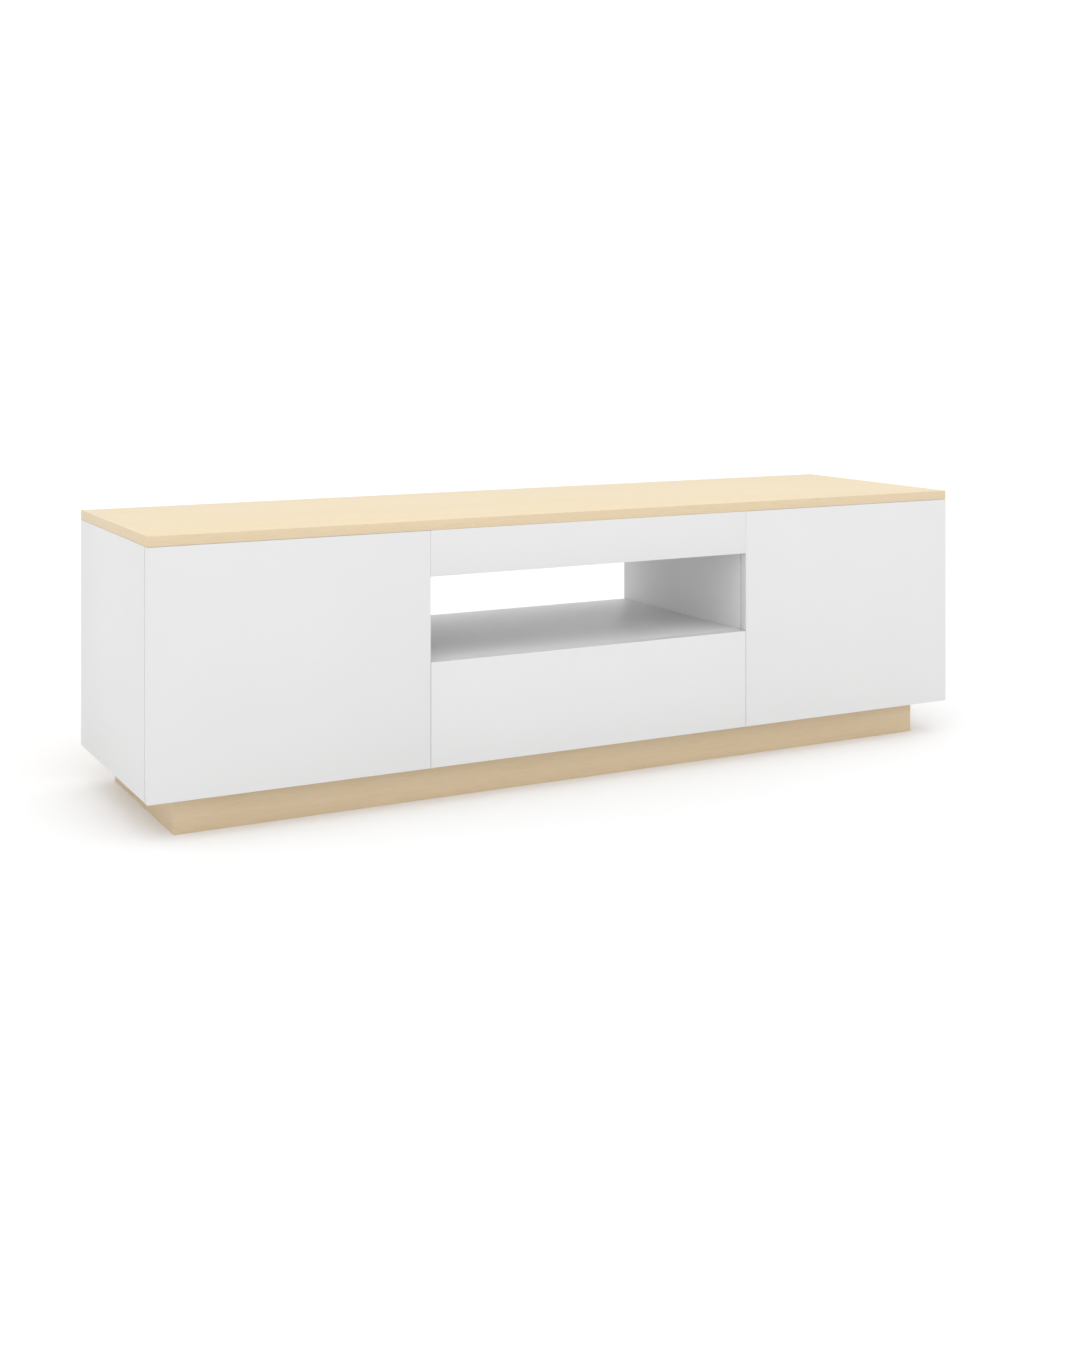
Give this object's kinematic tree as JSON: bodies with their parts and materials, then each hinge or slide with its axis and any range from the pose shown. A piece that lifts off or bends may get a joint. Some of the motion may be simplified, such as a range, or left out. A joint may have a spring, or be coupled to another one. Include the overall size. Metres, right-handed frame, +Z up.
{
  "type": "tv stand with doors",
  "caption": "Low white TV stand with a light wood top, an open centre niche over a drawer, a hinged push-to-open door at each side and a recessed plinth.",
  "frame": {"origin": "on the floor, under the centre of the stand's footprint", "axes": "+X to the right as seen from the front (width), -Y out of the front, +Z up"},
  "size_m": [1.5, 0.412, 0.45],
  "materials": {
    "white_lacquer": "white melamine-faced board, satin",
    "white_inside": "white painted hardboard",
    "oak_decor": "light wood decor, satin",
    "zinc_steel": "zinc plated",
    "zamak_grey": "zinc die-cast",
    "beech_dowel": "fluted beech dowel",
    "white_plastic": "white acetal"
  },
  "bodies": {
    "root": {"top_panel": "oak_decor", "bottom_panel": "white_lacquer", "left_side_panel": "white_lacquer", "right_side_panel": "white_lacquer", "left_partition": "white_lacquer", "right_partition": "white_lacquer", "niche_shelf": "white_lacquer", "niche_rail": "white_lacquer", "front_stretcher": "white_lacquer", "rear_stretcher": "white_lacquer", "left_back_panel": "white_inside", "right_back_panel": "white_inside", "drawer_bay_back": "white_inside", "left_shelf": "white_lacquer", "right_shelf": "white_lacquer", "plinth_front": "oak_decor", "plinth_rear": "oak_decor", "plinth_left_end": "oak_decor", "plinth_right_end": "oak_decor", "plinth_left_cross": "oak_decor", "plinth_right_cross": "oak_decor", "cam_locks": "zamak_grey", "cam_bolts": "zinc_steel", "wood_dowels": "beech_dowel", "back_panel_nails": "zinc_steel", "shelf_pins": "zinc_steel", "rail_screws": "zinc_steel", "plinth_brackets": "zinc_steel", "plinth_screws": "zinc_steel", "left_hinge_arms": "zinc_steel", "right_hinge_arms": "zinc_steel", "hinge_plates": "zinc_steel", "hinge_plate_screws": "zinc_steel", "left_slide_outer": "zinc_steel", "right_slide_outer": "zinc_steel", "slide_screws": "zinc_steel", "latch_housings": "white_plastic"},
    "left_door": {"left_door": "white_lacquer", "left_hinge_cups": "zinc_steel", "left_hinge_pins": "zinc_steel", "left_cup_screws": "zinc_steel"},
    "right_door": {"right_door": "white_lacquer", "right_hinge_cups": "zinc_steel", "right_hinge_pins": "zinc_steel", "right_cup_screws": "zinc_steel"},
    "drawer": {"drawer_front": "white_lacquer", "drawer_left_side": "white_lacquer", "drawer_right_side": "white_lacquer", "drawer_back": "white_lacquer", "drawer_bottom": "white_inside", "left_slide_inner": "zinc_steel", "right_slide_inner": "zinc_steel", "drawer_cams": "zamak_grey", "drawer_cam_bolts": "zinc_steel", "drawer_screws": "zinc_steel"},
    "left_slide_middle": {"left_slide_middle": "zinc_steel"},
    "right_slide_middle": {"right_slide_middle": "zinc_steel"},
    "left_latch_plunger": {"left_latch_plunger": "white_plastic"},
    "right_latch_plunger": {"right_latch_plunger": "white_plastic"},
    "drawer_latch_plunger": {"drawer_latch_plunger": "white_plastic"}
  },
  "joints": [
    {"name": "left_door_hinge", "type": "hinge", "parent": "root", "child": "left_door", "pos_m": [-0.7437, -0.1995, 0.247], "axis": [0, 0, -1], "range_deg": [0, 95]},
    {"name": "right_door_hinge", "type": "hinge", "parent": "root", "child": "right_door", "pos_m": [0.7437, -0.1995, 0.247], "axis": [0, 0, 1], "range_deg": [0, 95]},
    {"name": "drawer_slide", "type": "slide", "parent": "root", "child": "drawer", "axis": [0, -1, 0], "range_m": [0, 0.32]},
    {"name": "left_middle_slide", "type": "slide", "parent": "root", "child": "left_slide_middle", "axis": [0, -1, 0], "range_m": [0, 0.16]},
    {"name": "right_middle_slide", "type": "slide", "parent": "root", "child": "right_slide_middle", "axis": [0, -1, 0], "range_m": [0, 0.16]},
    {"name": "left_latch_push", "type": "slide", "parent": "root", "child": "left_latch_plunger", "axis": [0, -1, 0], "range_m": [0, 0.014]},
    {"name": "right_latch_push", "type": "slide", "parent": "root", "child": "right_latch_plunger", "axis": [0, -1, 0], "range_m": [0, 0.014]},
    {"name": "drawer_latch_push", "type": "slide", "parent": "root", "child": "drawer_latch_plunger", "axis": [0, -1, 0], "range_m": [0, 0.014]}
  ],
  "couplings": [
    {"joint": "left_middle_slide", "follows": "drawer_slide", "ratio": 0.5},
    {"joint": "right_middle_slide", "follows": "drawer_slide", "ratio": 0.5},
    {"joint": "left_latch_push", "follows": "left_door_hinge", "m_per_rad": 0.008443},
    {"joint": "right_latch_push", "follows": "right_door_hinge", "m_per_rad": 0.008443},
    {"joint": "drawer_latch_push", "follows": "drawer_slide", "ratio": 0.04375}
  ]
}
